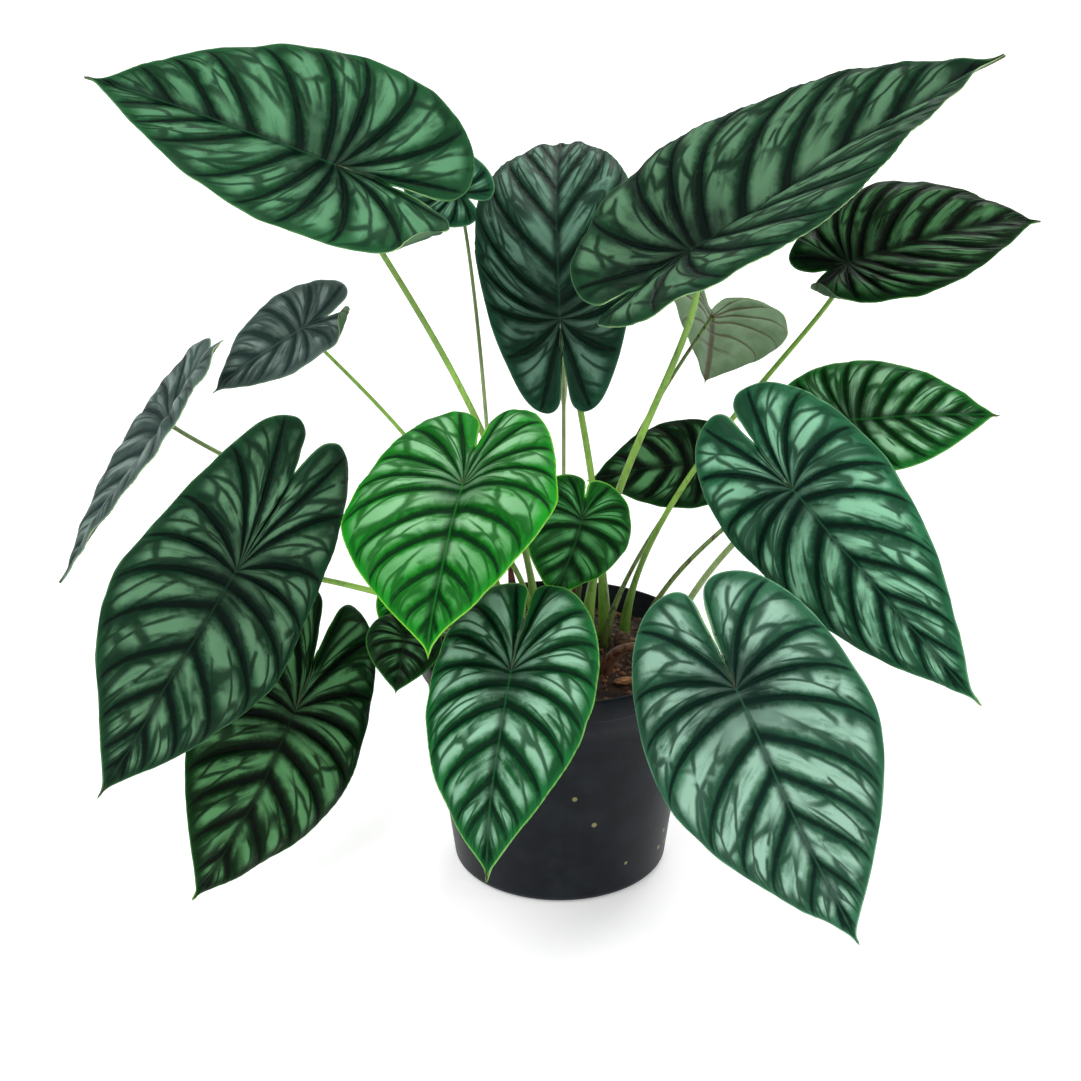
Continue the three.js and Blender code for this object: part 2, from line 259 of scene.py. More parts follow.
def buildPot():
    height = potForm["height"]
    shoulder = height - potForm["rimBand"]
    corner = potForm["corner"]
    rim = potForm["rimRadius"]
    ease = potForm["ease"]
    half, rise = potForm["lipHalf"], potForm["lipRise"]
    profile = [(potForm["baseRadius"] - corner, 0)]
    for step in range(1, 7):  # rounded foot
        turn = step / 6 * pi / 2
        inset = potForm["baseRadius"] - corner
        reach = potOutside(corner) - inset
        profile.append((inset + reach * sin(turn), corner * (1 - cos(turn))))
    for step in range(1, 8):
        z = lerp(corner, shoulder, step / 7)
        profile.append((potOutside(z), z))
    profile += [(potOutside(shoulder) + ease, shoulder + 0.0001), (rim - ease, shoulder + 0.0007),
                (rim, shoulder + potForm["rimStep"]), (rim, height - rise)]
    for step in range(1, 9):  # rolled lip
        turn = step / 8 * pi
        profile.append((rim - half + half * cos(turn), height - rise + rise * sin(turn)))
    for z in (height - potForm["lipDepth"], potForm["insideCorner"]):
        profile.append((potInside(z), z))
    profile.append((potInside(potForm["floor"]) - corner, potForm["floor"]))
    bm = spunPiece(profile, potForm["turns"])
    for index in range(potForm["drains"]):
        drillDrain(bm, 2 * pi * (index + 0.5) / potForm["drains"])
    for level in (0, potForm["floor"]):
        rims = [edge for edge in bm.edges if edge.is_boundary]
        atLevel = [edge for edge in rims if abs(edge.verts[0].co.z - level) < 1e-5]
        bmesh.ops.triangle_fill(bm, edges=atLevel, use_beauty=True, normal=(0, 0, 1))
    bmesh.ops.recalc_face_normals(bm, faces=bm.faces)
    addPiece(bm, "potShell", [potMaterial()], ["pot"])


def soilMaterial():
    finish = Finish("pottingMix")
    place = finish.place()
    clod = finish.noise(place, 160, 5, 0.65)
    tone = finish.noise(place, 45, 2)
    colour = finish.blend(clod.ramp(0.35, 0.7), (0.012, 0.006, 0.004), (0.060, 0.026, 0.016))
    colour = finish.blend(tone.ramp(0.5, 0.7) * 0.5, colour, (0.085, 0.040, 0.022))
    normal = finish.bump(finish.noise(place, 700, 4, 0.7), 0.0012, 0.8)
    return finish.set(Base_Color=colour, Roughness=0.85 + clod * 0.1, Normal=normal)


def crumbMaterial():
    finish = Finish("barkAndCoir")
    place = finish.place()
    grain = finish.noise(finish.scaled(place, (1.0, 1.0, 3.0)), 400, 4, 0.6)
    tone = finish.noise(place, 70, 1)
    colour = finish.blend(grain.ramp(0.3, 0.7), (0.05, 0.022, 0.012), (0.16, 0.075, 0.035))
    colour = finish.blend(tone.ramp(0.58, 0.66), colour, (0.30, 0.14, 0.055))
    normal = finish.bump(grain, 0.0008, 0.7)
    return finish.set(Base_Color=colour, Roughness=0.8, Normal=normal)


def buildSoil():
    edge = potInside(potForm["height"] - soilForm["drop"]) - soilForm["gap"]
    steps = soilForm["gridSteps"]
    bm = bmesh.new()
    bmesh.ops.create_grid(bm, x_segments=steps, y_segments=steps, size=1)
    for vert in bm.verts:
        x, y = vert.co.x, vert.co.y  # a square grid is drawn round
        flat = Vector((x * sqrt(1 - y * y / 2), y * sqrt(1 - x * x / 2), 0)) * edge
        radius = flat.length
        lump = 1.6 * wander(flat, 90) + 0.9 * wander(flat, 260, 5) + 0.5 * wander(flat, 700, 9)
        lump *= mm
        calm = 1 - smoothStep(0.9, 1, radius / edge) * 0.5
        vert.co = Vector((flat.x, flat.y, soilHeight(radius) + lump * calm))
    low = bmesh.ops.extrude_edge_only(bm, edges=[item for item in bm.edges if item.is_boundary])["geom"]
    ring = [item for item in low if isinstance(item, bmesh.types.BMVert)]
    underside = soilForm["underside"]
    taper = potInside(underside) / edge
    for vert in ring:
        vert.co = Vector((vert.co.x * taper, vert.co.y * taper, underside))
    bmesh.ops.contextual_create(bm, geom=[item for item in bm.edges if item.is_boundary])
    bmesh.ops.recalc_face_normals(bm, faces=bm.faces)
    addPiece(bm, "pottingMixMound", [soilMaterial()], ["soil"])


def scatterCrumbs():
    draw = random.Random(11)
    bm = bmesh.new()
    for index in range(soilForm["crumbs"]):
        radius = soilForm["crumbReach"] * sqrt(draw.random())
        turn = draw.uniform(0, 2 * pi)
        size = draw.uniform(0.6, 1.9) * mm if index > soilForm["chips"] else draw.uniform(2.0, 3.6) * mm
        made = bmesh.ops.create_icosphere(bm, subdivisions=1, radius=size)["verts"]
        squash = Vector((draw.uniform(0.8, 1.5), draw.uniform(0.5, 1.0), draw.uniform(0.4, 0.8)))
        spot = Vector((radius * cos(turn), radius * sin(turn), soilHeight(radius) + size * 0.25))
        spin = Matrix.Rotation(draw.uniform(0, pi), 3, "Z")
        spin = spin @ Matrix.Rotation(draw.uniform(-0.6, 0.6), 3, "X")
        for vert in made:
            bent = Vector([a * b for a, b in zip(vert.co, squash)])
            bent *= 1 + 0.35 * wander(vert.co, 900, index)
            vert.co = spin @ bent + spot
    addPiece(bm, "soilCrumbs", [crumbMaterial()], [], smooth=False)


bladeForm = {
    "fan": 0.41,            # share of the rows that start at the stalk
    "lag": 2.45,            # how far veins end ahead of where they start
    "veins": (0.0, 0.135, 0.265, 0.385, 0.49, 0.59, 0.69, 0.775, 0.85, 0.91, 0.96, 1.0),
    "fewVeins": (0.0, 0.19, 0.36, 0.49, 0.62, 0.74, 0.85, 0.94, 1.0),
    "fewBelow": 0.062,      # leaves shorter than this have few veins
    "follow": 0.62,         # how much their ends turn along the margin
    "sweep": radians(26),   # how far veins leave backwards before they curve to the tip
    "quilt": 0.17,          # height of a panel for its width
    "quiltMost": 2.6 * mm,
    "ripple": 2.2 * mm,     # on a leaf 100 mm long
    "warp": 0.02,           # slow waves, for the leaf's length
    "crinkle": 0.5 * mm,
    "grooveDepth": 0.7 * mm,
    "grooveWidth": 1.6 * mm,
    "sag": 1.2 * mm,        # how far the very edge turns down
    "thickness": 0.55 * mm,
    "rowsPerMetre": 950,
    "acrossPerMetre": 1100,
}

# what each point of a leaf knows for its material
leafMarks = ("vein", "rib", "edge", "across", "phase", "along", "hub", "gapWidth")

greens = {  # panel, silver, dark, margin, how much the silver fades to the tip
    "green": ((0.018, 0.100, 0.034), (0.100, 0.275, 0.138), (0.0004, 0.007, 0.004), (0.10, 0.27, 0.10), 0.2),
    "deep": ((0.010, 0.055, 0.021), (0.095, 0.215, 0.115), (0.0004, 0.005, 0.003), (0.08, 0.20, 0.08), 0.0),
    "teal": ((0.024, 0.140, 0.060), (0.225, 0.500, 0.320), (0.0005, 0.010, 0.006), (0.15, 0.36, 0.18), 0.0),
    "mint": ((0.034, 0.140, 0.070), (0.270, 0.460, 0.350), (0.0008, 0.012, 0.008), (0.18, 0.42, 0.24), 0.0),
    "frost": ((0.012, 0.150, 0.034), (0.260, 0.500, 0.340), (0.0004, 0.013, 0.005), (0.20, 0.52, 0.10), 0.3),
    # greyed and lightened to paint the sheen of light glancing off these leaves, over their own green
    "paintedSheenGrey": ((0.088, 0.132, 0.114), (0.190, 0.262, 0.230), (0.0140, 0.032, 0.028), (0.16, 0.27, 0.20), 0.0),
    "slate": ((0.014, 0.072, 0.037), (0.110, 0.230, 0.160), (0.0006, 0.008, 0.004), (0.08, 0.19, 0.10), 0.0),
    "leaf": ((0.012, 0.190, 0.025), (0.290, 0.560, 0.330), (0.0004, 0.013, 0.002), (0.18, 0.46, 0.10), 0.0),
    "dark": ((0.003, 0.036, 0.005), (0.080, 0.235, 0.090), (0.0001, 0.0020, 0.0004), (0.04, 0.16, 0.03), 0.0),
    "bright": ((0.010, 0.280, 0.014), (0.260, 0.540, 0.280), (0.0006, 0.022, 0.004), (0.26, 0.66, 0.05), 0.75),
    "young": ((0.006, 0.130, 0.009), (0.085, 0.320, 0.105), (0.0003, 0.012, 0.002), (0.20, 0.55, 0.05), 0.2),
    "pale": ((0.070, 0.190, 0.080), (0.210, 0.380, 0.230), (0.0100, 0.040, 0.020), (0.30, 0.45, 0.22), 0.0),
}

# Lengths in metres, turns in degrees. at is where the stalk meets the blade. lobe, notch, gape, waist
# and crown shape the outline, and each curl is the direction, start and radius of a rolled edge.
leaves = [
    {"name": "left_high", "at": (-0.1107, 0.005, 0.3859), "heading": 164, "pitch": 17, "roll": -37,
     "length": 0.137, "width": 0.102, "bend": 8, "arch": 10, "fold": 22,
     "lobe": 0.48, "notch": 0.45, "gape": 0.55, "waist": 1.1,
     "foot": (-0.012, 0.01), "lean": 0.04, "slot": "green", "tint": "green", "stalk": "lime",
     "curls": ((150, 0.061, 0.0024),)},
    {"name": "centre_high", "at": (0, 0.04, 0.293), "heading": 96, "pitch": 58, "roll": -10,
     "length": 0.162, "width": 0.092, "bend": 74, "arch": 20, "fold": 12,
     "lobe": 0.3, "notch": 0.4, "gape": 0.4, "waist": 0.72, "crown": 1.15,
     "foot": (0.024, 0.018), "lean": 0.03, "slot": "teal", "tint": "slate", "stalk": "lime"},
    {"name": "right_high", "at": (0.0647, -0.008, 0.3464), "heading": 12, "pitch": 31, "roll": 8,
     "length": 0.178, "width": 0.153, "bend": 1, "arch": 22, "fold": 23,
     "lobe": 0.33, "notch": 0.5, "gape": 0.4, "waist": 0.84,
     "foot": (0.014, 0.006), "lean": 0.045, "slot": "green", "tint": "deep", "stalk": "lime"},
    {"name": "right_rear", "at": (0.1485, 0.042, 0.3229), "heading": 16, "pitch": 16, "roll": 29,
     "length": 0.113, "width": 0.084, "bend": 25, "arch": 16, "fold": 16,
     "lobe": 0.24, "notch": 0.45, "waist": 0.7,
     "foot": (0.034, 0.014), "lean": 0.04, "slot": "green", "tint": "dark", "stalk": "lime",
     "curls": ((-145, 0.023, 0.0026),)},
    {"name": "rear_young", "at": (0.083, 0.112, 0.269), "heading": 85, "pitch": -50, "roll": 28,
     "length": 0.06, "width": 0.078, "bend": 15, "arch": 12, "fold": 28,
     "lobe": 0.4, "notch": 0.35,
     "foot": (0.008, 0.036), "lean": 0.03, "slot": "pale", "tint": "pale", "stalk": "olive"},
    {"name": "left_far", "at": (-0.201, 0, 0.251), "heading": -140, "pitch": -46, "roll": 26,
     "length": 0.096, "width": 0.084, "bend": -3, "arch": 10, "fold": 14,
     "lobe": 0.52, "notch": 0.4,
     "foot": (-0.036, -0.008), "lean": 0.06, "slot": "teal", "tint": "paintedSheenGrey", "stalk": "pale"},
    {"name": "left_small", "at": (-0.134, 0.042, 0.287), "heading": -176, "pitch": -30, "roll": -32,
     "length": 0.06, "width": 0.052, "bend": 12, "arch": 12, "fold": 14,
     "lobe": 0.5, "notch": 0.45,
     "foot": (-0.028, 0.018), "lean": 0.045, "slot": "teal", "tint": "paintedSheenGrey", "stalk": "lime",
     "curls": ((148, 0.024, 0.0026),)},
    {"name": "left_low", "at": (-0.1615, -0.0625, 0.1962), "heading": -137, "pitch": -47, "roll": -71,
     "length": 0.129, "width": 0.113, "bend": 1, "arch": 18, "fold": 3,
     "lobe": 0.63, "notch": 0.7, "gape": 0.6, "waist": 0.82,
     "foot": (-0.026, -0.016), "lean": 0.06, "slot": "green", "tint": "deep", "stalk": "lime"},
    {"name": "left_under", "at": (-0.1375, -0.04, 0.1061), "heading": -125, "pitch": -51, "roll": -62,
     "length": 0.113, "width": 0.101, "bend": 26, "arch": 16, "fold": 3,
     "lobe": 0.57, "notch": 0.45, "gape": 0.6, "waist": 0.9,
     "foot": (-0.048, 0.008), "lean": 0.06, "slot": "dark", "tint": "dark", "stalk": "olive"},
    {"name": "left_inner", "at": (-0.08, -0.031, 0.144), "heading": -100, "pitch": -38, "roll": -10,
     "length": 0.03, "width": 0.04, "bend": 15, "arch": 12, "fold": 8,
     "lobe": 0.42, "notch": 0.45,
     "foot": (-0.046, -0.016), "lean": 0.016, "slot": "dark", "tint": "dark", "stalk": "olive"},
    {"name": "centre_bright", "at": (-0.048, -0.062, 0.2432), "heading": -103, "pitch": -25, "roll": 12,
     "length": 0.098, "width": 0.12, "bend": 17, "arch": 20, "fold": 17,
     "lobe": 0.51, "notch": 0.55, "gape": 0.35, "waist": 0.82,
     "foot": (-0.012, -0.012), "lean": 0.045, "slot": "bright", "tint": "bright", "stalk": "lime"},
    {"name": "centre_small", "at": (0.011, -0.046, 0.217), "heading": -118, "pitch": -62, "roll": -50,
     "length": 0.045, "width": 0.06, "bend": 40, "arch": 20, "fold": 8,
     "lobe": 0.48, "notch": 0.55, "gape": 0.3,
     "foot": (0.006, -0.008), "lean": 0.025, "slot": "bright", "tint": "young", "stalk": "lime"},
    {"name": "front_low", "at": (-0.024, -0.112, 0.165), "heading": -105, "pitch": -43, "roll": 10,
     "length": 0.102, "width": 0.09, "bend": 22, "arch": 18, "fold": 4,
     "lobe": 0.48, "notch": 0.5, "gape": 0.25,
     "foot": (-0.006, -0.032), "lean": 0.035, "slot": "green", "tint": "frost", "stalk": "lime"},
    {"name": "right_low", "at": (0.0863, -0.11, 0.1544), "heading": -41, "pitch": -58, "roll": 61,
     "length": 0.143, "width": 0.125, "bend": 13, "arch": 16, "fold": 3,
     "lobe": 0.39, "notch": 0.3, "gape": 0.35, "waist": 0.86,
     "foot": (0.024, -0.024), "lean": 0.04, "slot": "teal", "tint": "mint", "stalk": "rust"},
    {"name": "right_mid", "at": (0.1156, -0.052, 0.2358), "heading": -30, "pitch": -42, "roll": 82,
     "length": 0.139, "width": 0.094, "bend": 2, "arch": 16, "fold": 3,
     "lobe": 0.39, "notch": 0.55, "gape": 0.4, "waist": 1.02,
     "foot": (0.056, -0.008), "lean": 0.05, "slot": "teal", "tint": "teal", "stalk": "pale"},
    {"name": "right_upper", "at": (0.15, 0.014, 0.247), "heading": 6, "pitch": 3, "roll": 42,
     "length": 0.08, "width": 0.066, "bend": 12, "arch": 14, "fold": 12,
     "lobe": 0.46, "notch": 0.45,
     "foot": (0.042, 0.004), "lean": 0.045, "slot": "green", "tint": "leaf", "stalk": "olive"},
    {"name": "inner_dark", "at": (0.072, 0.047, 0.21), "heading": -175, "pitch": -4, "roll": -40,
     "length": 0.058, "width": 0.054, "bend": 15, "arch": 14, "fold": 8,
     "lobe": 0.44, "notch": 0.45,
     "foot": (0.024, 0.004), "lean": 0.025, "slot": "dark", "tint": "dark", "stalk": "olive"},
    {"name": "rear_left", "at": (-0.055, 0.095, 0.345), "heading": 150, "pitch": 20, "roll": -50,
     "length": 0.044, "width": 0.042, "bend": 15, "arch": 12, "fold": 8,
     "lobe": 0.42, "notch": 0.45,
     "foot": (-0.034, 0.028), "lean": 0.03, "slot": "teal", "tint": "teal", "stalk": "pale"},
    {"name": "left_sprout", "at": (-0.088, 0.024, 0.14), "heading": -110, "pitch": -62, "roll": -20,
     "length": 0.022, "width": 0.02, "bend": 10, "arch": 12, "fold": 12,
     "lobe": 0.4, "notch": 0.5,
     "foot": (-0.05, 0.02), "lean": 0.014, "slot": "bright", "tint": "bright", "stalk": "lime"},
]


# The shape of one leaf: its flat outline, the ribs across it, and its bend in the room.
class Blade:
    def __init__(self, leaf):
        self.leaf = leaf
        self.length = leaf["length"]
        self.half = leaf["width"] / 2
        heading, pitch, roll = (radians(leaf[key]) for key in ("heading", "pitch", "roll"))
        self.along = Vector((cos(heading) * cos(pitch), sin(heading) * cos(pitch), sin(pitch)))
        left = Vector((-sin(heading), cos(heading), 0))
        up = self.along.cross(left)
        spin = Matrix.Rotation(roll, 3, self.along)
        self.left = spin @ left
        self.up = spin @ up
        self.margin = self.traceMargin()

    def traceMargin(self):
        lobe, notch = self.leaf["lobe"], self.leaf["notch"]
        reach = [-lobe * lerp(notch, 1, share) for share in (0, 0.45, 0.88)]
        gape, waist, crown = (self.leaf.get(key, 1) for key in ("gape", "waist", "crown"))
        shape = [(reach[0], 0), (reach[1], 0.07 * gape), (reach[2], 0.19 * gape),
                 (-lobe, 0.38 * lerp(1, gape, 0.5) * lerp(1, waist, 0.5)),
                 (-0.87 * lobe, 0.64 * lerp(1, gape, 0.12) * waist), (-0.48 * lobe, 0.88 * waist),
                 (0.04, lerp(1, waist, 0.6)), (0.28, 0.95), (0.52, 0.74 * crown), (0.74, 0.42 * crown),
                 (0.9, 0.14), (0.965, 0.035), (1.02, 0)]
        knots = [Vector((u * self.length, v * self.half)) for u, v in shape]
        knots = [2 * knots[0] - knots[1]] + knots + [2 * knots[-1] - knots[-2]]
        curve = []
        for a, b, c, d in zip(knots, knots[1:], knots[2:], knots[3:]):
            for step in range(24):
                t = step / 24
                curve.append(0.5 * (2 * b + (c - a) * t + (2 * a - 5 * b + 4 * c - d) * t * t
                                    + (3 * b - a - 3 * c + d) * t ** 3))
        curve.append(knots[-2])
        lengths = [0.0]
        for first, second in zip(curve, curve[1:]):
            lengths.append(lengths[-1] + (second - first).length)
        return curve, lengths

    def edgeAt(self, share):
        curve, lengths = self.margin
        target = share * lengths[-1]
        index = next((i for i, value in enumerate(lengths) if value >= target), len(lengths) - 1)
        if index == 0:
            return curve[0].copy()
        span = lengths[index] - lengths[index - 1]
        return curve[index - 1].lerp(curve[index], (target - lengths[index - 1]) / span)

    def rib(self, row):  # start, two bends and end of the line that runs from the midrib to the margin
        ahead = max(0.0, (row - bladeForm["fan"]) / (1 - bladeForm["fan"])) ** bladeForm["lag"]
        start = Vector((ahead * self.length * 1.02, 0))
        end = self.edgeAt(row)
        chord = end - start
        sweep = bladeForm["sweep"] * smoothStep(0.05, 0.30, row) * (1 - smoothStep(0.6, 1, row))
        leave = Matrix.Rotation(sweep, 2) @ (chord * 0.36)
        onward = self.edgeAt(min(1, row + 0.01)) - self.edgeAt(max(0, row - 0.01))
        follow = bladeForm["follow"] * smoothStep(0.1, 0.35, row) * (1 - smoothStep(0.85, 1, row))
        arrive = (chord.normalized() * (1 - follow) + onward.normalized() * follow) * chord.length * 0.34
        return start, start + leave, end - arrive, end

    def curl(self, flat, height):  # rolls up whatever lies beyond a hinge line
        for turn, start, radius in self.leaf.get("curls", ()):
            away = Vector((cos(radians(turn)), sin(radians(turn))))
            over = flat.dot(away) - start
            if over > 0:
                flat = flat - away * (over - (radius + height) * sin(over / radius))
                height = radius - (radius - height) * cos(over / radius)
        return flat, height

    def lift(self, flat, height):  # a flat leaf point on the bent and folded blade
        leaf = self.leaf
        flat, height = self.curl(flat, height)
        bend, arch, fold = (radians(leaf[key]) for key in ("bend", "arch", "fold"))
        alongTurn = flat.x / self.length * bend
        acrossTurn = abs(flat.y) / self.half * arch
        x = self.length / bend * sin(alongTurn)
        drop = self.length / bend * (1 - cos(alongTurn))
        y = self.half / arch * sin(acrossTurn)
        sink = self.half / arch * (1 - cos(acrossTurn))
        rise = y * tan(fold) * smoothStep(-0.002, 0.008, y) - sink + height
        side = 1 if flat.y >= 0 else -1
        return (Vector(leaf["at"]) + self.along * (x + rise * sin(alongTurn))
                + self.up * (rise * cos(alongTurn) - drop) + self.left * y * side)


def bladeMesh(leaf, seed):
    blade = Blade(leaf)
    reach = blade.length * (1 + leaf["lobe"])
    rows = ceil(max(66, reach * bladeForm["rowsPerMetre"]))
    across = ceil(max(15, blade.half * bladeForm["acrossPerMetre"] / 2))
    usual = bladeForm["fewVeins" if blade.length < bladeForm["fewBelow"] else "veins"]
    draw = random.Random(round(seed * 10))
    veins = [vein + draw.uniform(-0.013, 0.013) * (0 < vein < 1) for vein in usual]
    ribs = [blade.rib(row / rows) for row in range(rows + 1)]
    veinRibs = [blade.rib(vein) for vein in veins]
    hem = KDTree(len(blade.margin[0]))
    for index, point in enumerate(blade.margin[0]):
        hem.insert((point.x, point.y, 0), index)
    hem.balance()
    bm = bmesh.new()
    layers = {key: bm.verts.layers.float.new(key) for key in leafMarks}
    bmesh.ops.create_grid(bm, x_segments=rows, y_segments=2 * across, size=1)
    for vert in bm.verts:
        row = round((vert.co.x + 1) / 2 * rows)
        share = abs(vert.co.y)
        side = 1 if vert.co.y >= 0 else -1
        flat = bezier(ribs[row], share)
        place = row / rows
        panel = next(i for i in range(len(veins) - 1) if place <= veins[i + 1] or i == len(veins) - 2)
        within = (place - veins[panel]) / (veins[panel + 1] - veins[panel])
        gapWidth = (bezier(veinRibs[panel], share) - bezier(veinRibs[panel + 1], share)).length
        edge = (Vector((flat.x, flat.y, 0)) - hem.find((flat.x, flat.y, 0))[0]).length
        rib = abs(flat.y) if flat.x > 0 else flat.length
        vein = min(within, 1 - within) * gapWidth
        hub = flat.length
        signed = Vector((flat.x, flat.y * side))
        spot = Vector((signed.x, signed.y, seed * 0.37))
        swell = sin(pi * within) ** 0.75 * min(bladeForm["quilt"] * gapWidth, bladeForm["quiltMost"])
        swell *= smoothStep(0, 0.012, rib) * smoothStep(0.0, 0.010, edge)
        crinkle = bladeForm["crinkle"] * wander(spot, 150) * smoothStep(0, 0.004, vein)
        groove = -bladeForm["grooveDepth"] * exp(-(rib / bladeForm["grooveWidth"]) ** 2)
        wave = wander((place * 14, share, seed), 1)
        hemWave = bladeForm["ripple"] * blade.length / 0.1 * wave * exp(-edge / 0.009)
        hemWave *= smoothStep(0.0, 0.03, hub)
        warp = bladeForm["warp"] * blade.length * wander(spot, 3.2 / blade.length)
        warp *= smoothStep(0.0, 0.02, hub)
        sag = -bladeForm["sag"] * exp(-edge / 0.0018)
        height = swell + crinkle + groove + hemWave + warp + sag
        vert.co = blade.lift(signed, height * (1 - exp(-hub / 0.004)))
        along = share * (ribs[row][3] - ribs[row][0]).length
        values = {"vein": vein, "rib": rib, "edge": edge, "across": share, "phase": panel + within,
                  "along": along, "hub": hub, "gapWidth": gapWidth}
        for key, value in values.items():
            vert[layers[key]] = value
    bmesh.ops.remove_doubles(bm, verts=bm.verts, dist=1e-6)
    return blade, bm


# Silver panels between dark veins, with a finer net of side veins near the margin. The attributes
# are distances in metres, except across and phase: the share of a rib, and the panel it lies in.
def upperMaterial(name, tint, seed, length):
    finish = Finish(name)
    panel, silver, dark, margin, fade = greens[tint]
    shade = tuple(0.5 * a + 0.5 * b for a, b in zip(dark, panel))
    veinGreen = tuple(0.7 * a + 0.3 * b for a, b in zip(dark, panel))
    place = finish.place()
    vein, rib, edge, across, phase, along, hub, gapWidth = (finish.attribute(key) for key in leafMarks)
    jag = finish.noise(place, 230, 4, 0.65) - 0.5
    coarse = finish.noise(place, 34, 2) - 0.5
    streak = finish.noise(finish.vector(phase * 4.2 + seed, along * 46 + jag * 0.9, seed), 1.0, 2, 0.5)
    fleck = finish.noise(finish.vector(phase * 7 + seed, along * 60, seed + 7), 1.0, 2, 0.5)
    netAlong = along * 46 + jag * 0.10 - phase * 1.2 + coarse * 0.8
    netPlace = finish.vector(phase * 1.9 + coarse * 0.7 + seed, netAlong, 0.0)
    net = finish.cells(netPlace, 1.0)
    netMask = finish.noise(place, 60, 1).ramp(0.30, 0.42) * across.ramp(0.10, 0.35)
    netLine = (1 - net.ramp(0.03, 0.15)) * netMask
    taper = (1.2 * mm + (1 - across) * 2.6 * mm) * gapWidth.ramp(0.0, 15 * mm)
    veinCore = 1 - (vein / taper + jag * 0.7).ramp(0.25, 0.85)
    veinBand = 1 - (vein / taper + jag * 1.8).ramp(0.4, 2.0)
    ribBand = 1 - (rib + jag * 2.4 * mm).ramp(0.6 * mm, 4.6 * mm)
    hubBand = 1 - (hub / length + coarse * 0.25).ramp(0.0, 0.30)
    middle = (vein / gapWidth + jag * 0.16).ramp(0.10, 0.36)
    inner = (edge + jag * 3.0 * mm).ramp(2.5 * mm, 9.0 * mm)
    silverMask = middle * inner * (streak * 0.9 + fleck * 0.35 + coarse * 0.6).ramp(0.32, 0.68)
    silverMask = silverMask * (1 - (hub / length).ramp(0.25, 0.75) * fade)
    colour = finish.blend(coarse.ramp(-0.2, 0.25), shade, panel)
    colour = finish.blend(silverMask, colour, silver)
    colour = finish.blend(netLine * 0.9, colour, veinGreen)
    colour = finish.blend(veinBand * 0.8, colour, veinGreen)
    colour = finish.blend((ribBand * 0.85).most(hubBand * 0.9), colour, dark)
    colour = finish.blend(veinCore * 0.95, colour, dark)
    midline = 1 - rib.ramp(0.3 * mm, 0.8 * mm)
    colour = finish.blend(midline * 0.35, colour, panel)
    rimGreen = 1 - edge.ramp(0.8 * mm, 3.4 * mm)
    colour = finish.blend(rimGreen * 0.5, colour, panel)
    hem = 1 - edge.ramp(0.3 * mm, 1.0 * mm)
    colour = finish.blend(hem * 0.8, colour, margin)
    fine = finish.noise(place, 900, 3, 0.6)
    height = fine * 0.25 + netLine * -0.9 + streak * 0.6 + veinCore * -1.2
    normal = finish.bump(height, 0.0007, 0.55)
    rough = 0.40 + fine * 0.10 + veinCore * 0.1
    return finish.set(Base_Color=colour, Roughness=rough, Normal=normal, Specular_IOR_Level=0.07)


def underMaterial(name, low, high):
    finish = Finish(name)
    place = finish.place()
    vein, rib, across = (finish.attribute(key) for key in ("vein", "rib", "across"))
    jag = finish.noise(place, 240, 3) - 0.5
    base = finish.blend(finish.noise(place, 60, 3).ramp(0.35, 0.65), low, high)
    core = 1 - (vein / (0.8 * mm + (1 - across) * 1.0 * mm) + jag * 0.4).ramp(0.3, 1.0)
    main = 1 - rib.ramp(0.8 * mm, 2.0 * mm)
    colour = finish.blend(core.most(main) * 0.8, base, (0.075, 0.052, 0.024))
    normal = finish.bump(core + finish.noise(place, 900, 3) * 0.2, 0.0008, 0.6)
    return finish.set(Base_Color=colour, Roughness=0.55 + jag * 0.1, Normal=normal, Specular_IOR_Level=0.2)


def hemMaterial():
    finish = Finish("bladeRim")
    tone = finish.noise(finish.place(), 120, 2)
    colour = finish.blend(tone.ramp(0.4, 0.6), (0.20, 0.36, 0.14), (0.34, 0.50, 0.20))
    return finish.set(Base_Color=colour, Roughness=0.45 + tone * 0.1)


def buildBlade(leaf, index, under, hem):
    blade, bm = bladeMesh(leaf, index * 1.7 + 0.3)
    name = leaf["name"]
    upper = upperMaterial("leafSkin_" + name, leaf["tint"], index * 3.1, leaf["length"])
    piece = addPiece(bm, "leaf_" + name, [upper, under, hem], ["blade_" + name])
    shell = piece.modifiers.new("leafThickness", "SOLIDIFY")
    shell.thickness = bladeForm["thickness"]
    shell.offset = -1
    shell.use_even_offset = False
    shell.material_offset = 1
    shell.material_offset_rim = 2
    return blade


stalkForm = {"around": 18, "stepLength": 0.004, "footWiden": 1.9, "footLength": 0.04, "neckWiden": 1.35}


def tubeMesh(path, radiusAt, around):  # a closed tube whose radius depends on place and turn
    frames = []
    side = Vector((1, 0, 0))
    for index, point in enumerate(path):
        ahead = path[min(index + 1, len(path) - 1)] - path[max(index - 1, 0)]
        ahead.normalize()
        side = (side - ahead * side.dot(ahead)).normalized()
        frames.append((point, side.copy(), ahead.cross(side)))
    bm = bmesh.new()
    layers = {key: bm.verts.layers.float.new(key) for key in ("along", "around")}
    bmesh.ops.create_grid(bm, x_segments=len(path) + 1, y_segments=around, size=1)
    for vert in bm.verts:
        row = round((vert.co.x + 1) / 2 * (len(path) + 1)) - 1
        turn = pi * (vert.co.y + 1)
        spot = min(max(row, 0), len(path) - 1)
        point, right, up = frames[spot]
        radius = 0 if row in (-1, len(path)) else radiusAt(spot / (len(path) - 1), turn)
        vert[layers["along"]] = spot / (len(path) - 1)
        vert[layers["around"]] = turn
        vert.co = point + (right * cos(turn) + up * sin(turn)) * radius
    bmesh.ops.remove_doubles(bm, verts=bm.verts, dist=1e-7)
    bmesh.ops.recalc_face_normals(bm, faces=bm.faces)
    return bm


